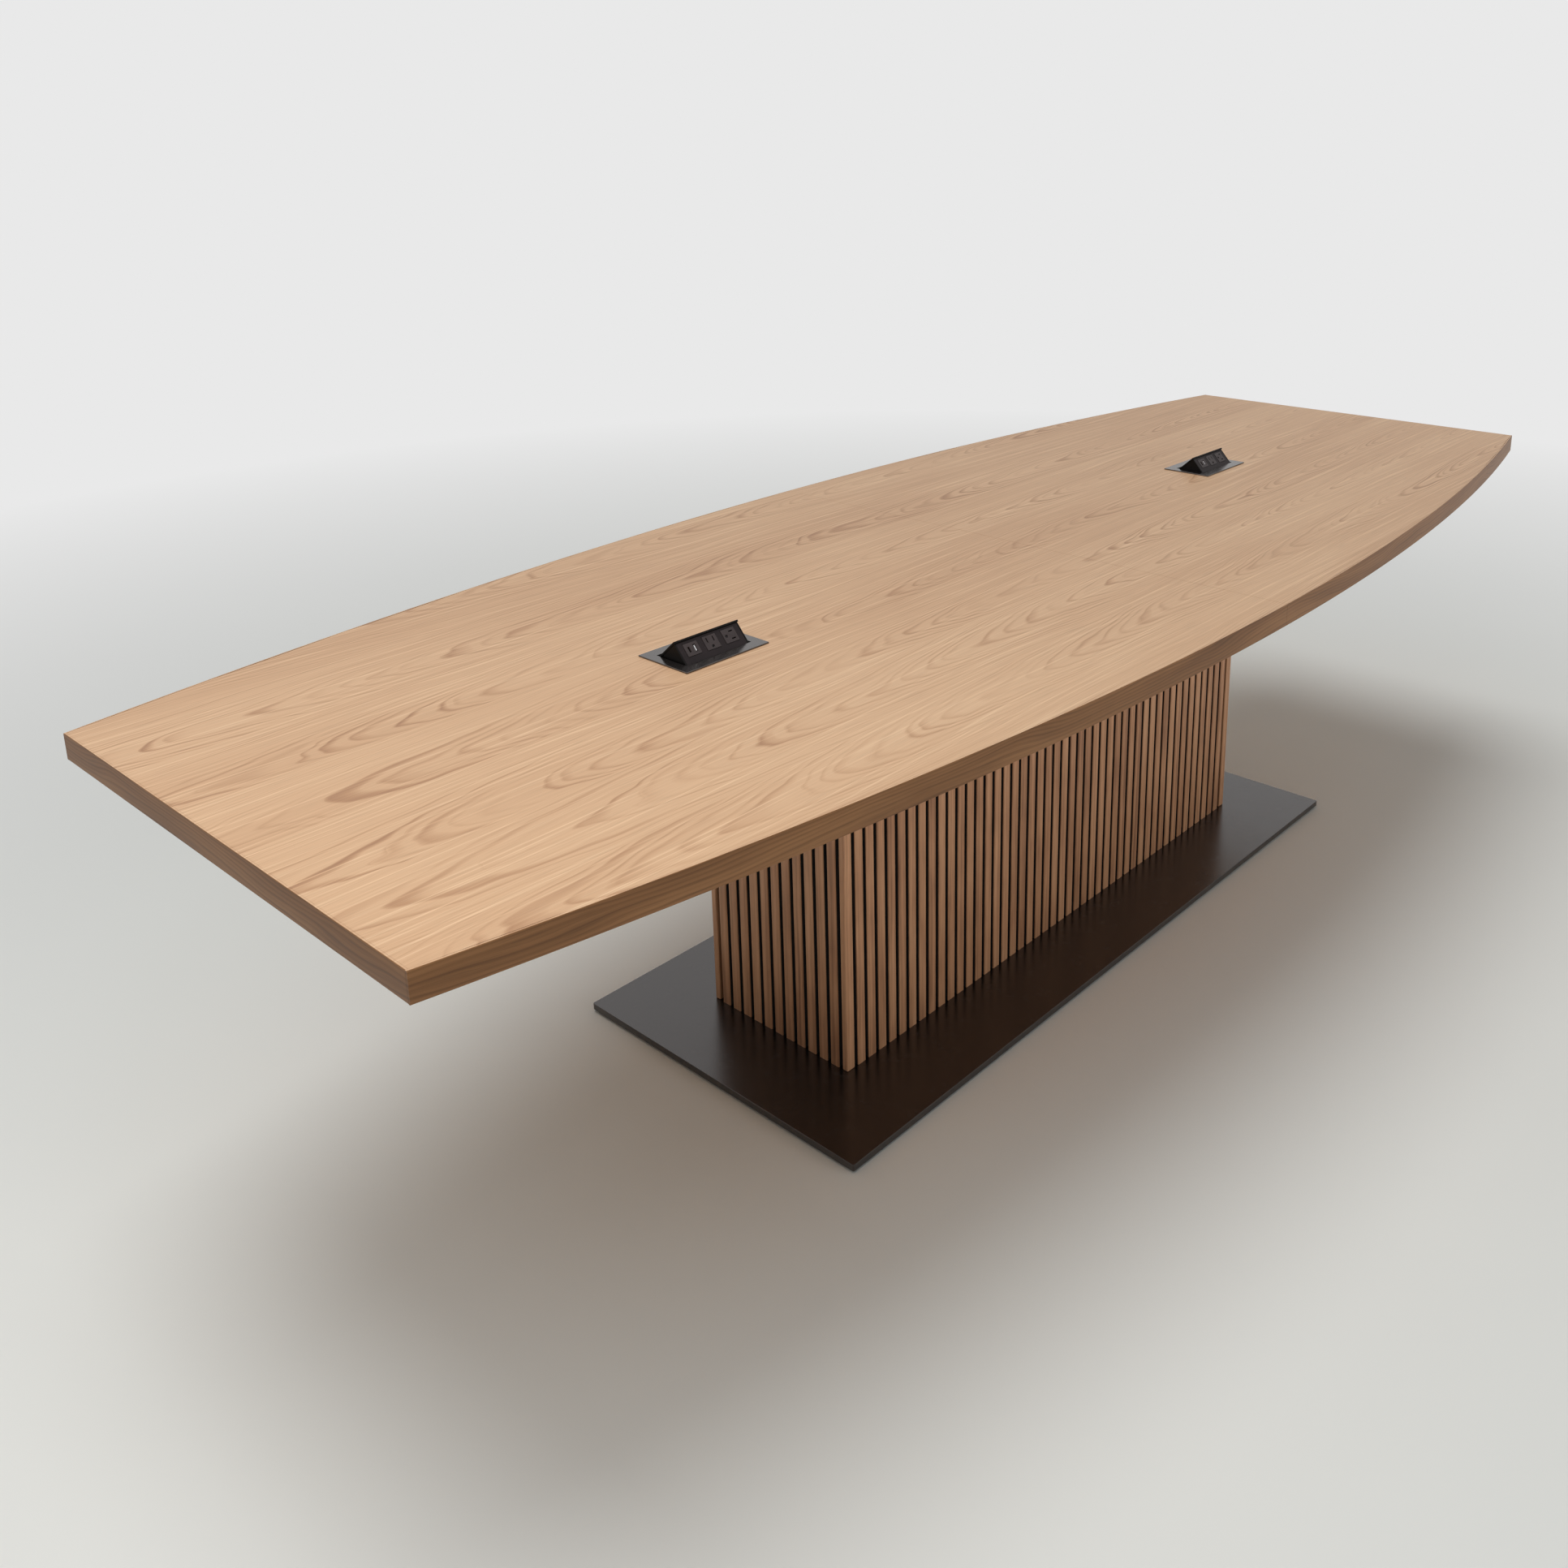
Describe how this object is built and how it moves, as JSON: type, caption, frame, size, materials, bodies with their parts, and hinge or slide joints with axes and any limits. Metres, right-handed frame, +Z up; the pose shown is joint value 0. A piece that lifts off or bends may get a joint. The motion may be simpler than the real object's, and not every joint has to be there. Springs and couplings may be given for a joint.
{
  "type": "conference table",
  "caption": "Long conference table: bowed oak-veneer top on a slatted pedestal and black base plate, with flip-up power units let into the top.",
  "frame": {"origin": "on the floor, under the middle of the top", "axes": "+X along the table's length, +Z up; the socket faces look towards -Y"},
  "size_m": [3.048, 1.164, 0.7948],
  "materials": {
    "oak_veneer": "satin clear coat",
    "oak_edge": "satin clear coat",
    "slat_oak": "satin stain",
    "black_board": "matt black",
    "base_paint": "satin black powder coat",
    "steel": "zinc plated",
    "power_black": "fine texture",
    "power_insert": "smooth",
    "glide_pad": "matt"
  },
  "bodies": {
    "table": {"top_panel_left": "oak_veneer", "top_panel_right": "oak_veneer", "edge_band_front_left": "oak_edge", "edge_band_front_right": "oak_edge", "edge_band_rear_left": "oak_edge", "edge_band_rear_right": "oak_edge", "edge_band_end_left": "oak_edge", "edge_band_end_right": "oak_edge", "seam_spline": "oak_veneer", "stiffener_front": "steel", "stiffener_rear": "steel", "slat_panel_front": "slat_oak", "slat_panel_rear": "slat_oak", "slat_panel_left": "slat_oak", "slat_panel_right": "slat_oak", "corner_post_front_left": "slat_oak", "corner_post_front_right": "slat_oak", "corner_post_rear_left": "slat_oak", "corner_post_rear_right": "slat_oak", "carcass_side_front": "black_board", "carcass_side_rear": "black_board", "carcass_end_left": "black_board", "carcass_end_right": "black_board", "carcass_head": "black_board", "carcass_floor": "black_board", "head_bolt_front_left": "steel", "head_bolt_front_right": "steel", "head_bolt_rear_left": "steel", "head_bolt_rear_right": "steel", "base_plate": "base_paint", "base_bolt_front_left": "steel", "base_bolt_front_right": "steel", "base_bolt_rear_left": "steel", "base_bolt_rear_right": "steel", "glide_front_left": "glide_pad", "glide_front_right": "glide_pad", "glide_rear_left": "glide_pad", "glide_rear_right": "glide_pad", "power_bezel_left": "power_black", "power_tub_left": "power_black", "cord_gland_left": "power_black", "clamp_yoke_left": "steel", "hinge_rod_left": "steel", "power_bezel_right": "power_black", "power_tub_right": "power_black", "cord_gland_right": "power_black", "clamp_yoke_right": "steel", "hinge_rod_right": "steel"},
    "power_flip_left": {"power_lid_left": "power_black", "socket_face_left": "power_black", "usb_block_left": "power_insert", "outlet_upright_left": "power_insert", "outlet_turned_left": "power_insert"},
    "power_flip_right": {"power_lid_right": "power_black", "socket_face_right": "power_black", "usb_block_right": "power_insert", "outlet_upright_right": "power_insert", "outlet_turned_right": "power_insert"}
  },
  "joints": [
    {"name": "power_hinge_left", "type": "hinge", "parent": "table", "child": "power_flip_left", "pos_m": [-0.762, 0.02532, 0.7575], "axis": [1, 0, 0], "range_deg": [0, 42]},
    {"name": "power_hinge_right", "type": "hinge", "parent": "table", "child": "power_flip_right", "pos_m": [0.762, 0.02532, 0.7575], "axis": [1, 0, 0], "range_deg": [0, 42]}
  ]
}
